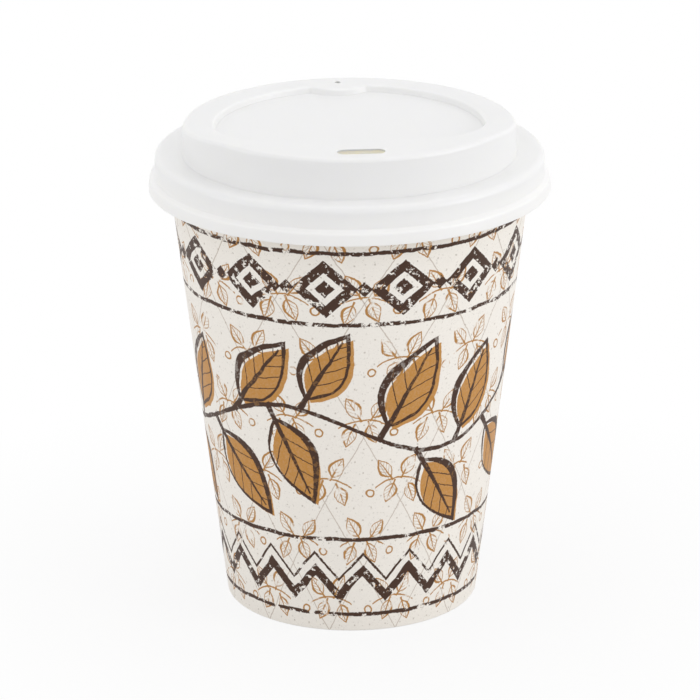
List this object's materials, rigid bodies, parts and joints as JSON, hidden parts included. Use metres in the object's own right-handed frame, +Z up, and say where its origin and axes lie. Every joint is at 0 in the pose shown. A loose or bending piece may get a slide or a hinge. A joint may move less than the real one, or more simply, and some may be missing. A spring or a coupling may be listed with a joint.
{
  "type": "paper coffee cup",
  "caption": "Tapered paper hot-drink cup with a rolled rim and a recessed bottom, closed by a formed white plastic lid with a raised sip slot and a vent; the lid lifts off.",
  "frame": {"origin": "centre of the foot on the table, under the middle of the box", "axes": "+Z up along the cup's axis, -Y to the sip slot at the front, +Y to the side seam at the back"},
  "size_m": [0.0942, 0.0942, 0.119],
  "materials": {
    "printed_board": "satin coated board, printed outside",
    "bottom_board": "satin coated board",
    "lid_sheet": "glossy formed sheet"
  },
  "bodies": {
    "cup": {"cup_sidewall": "printed_board", "cup_bottom": "bottom_board"},
    "lid": {"lid": "lid_sheet"}
  },
  "joints": [
    {"name": "lid_lift", "type": "slide", "parent": "cup", "child": "lid", "axis": [0, 0, 1], "range_m": [0, 0.06]}
  ]
}
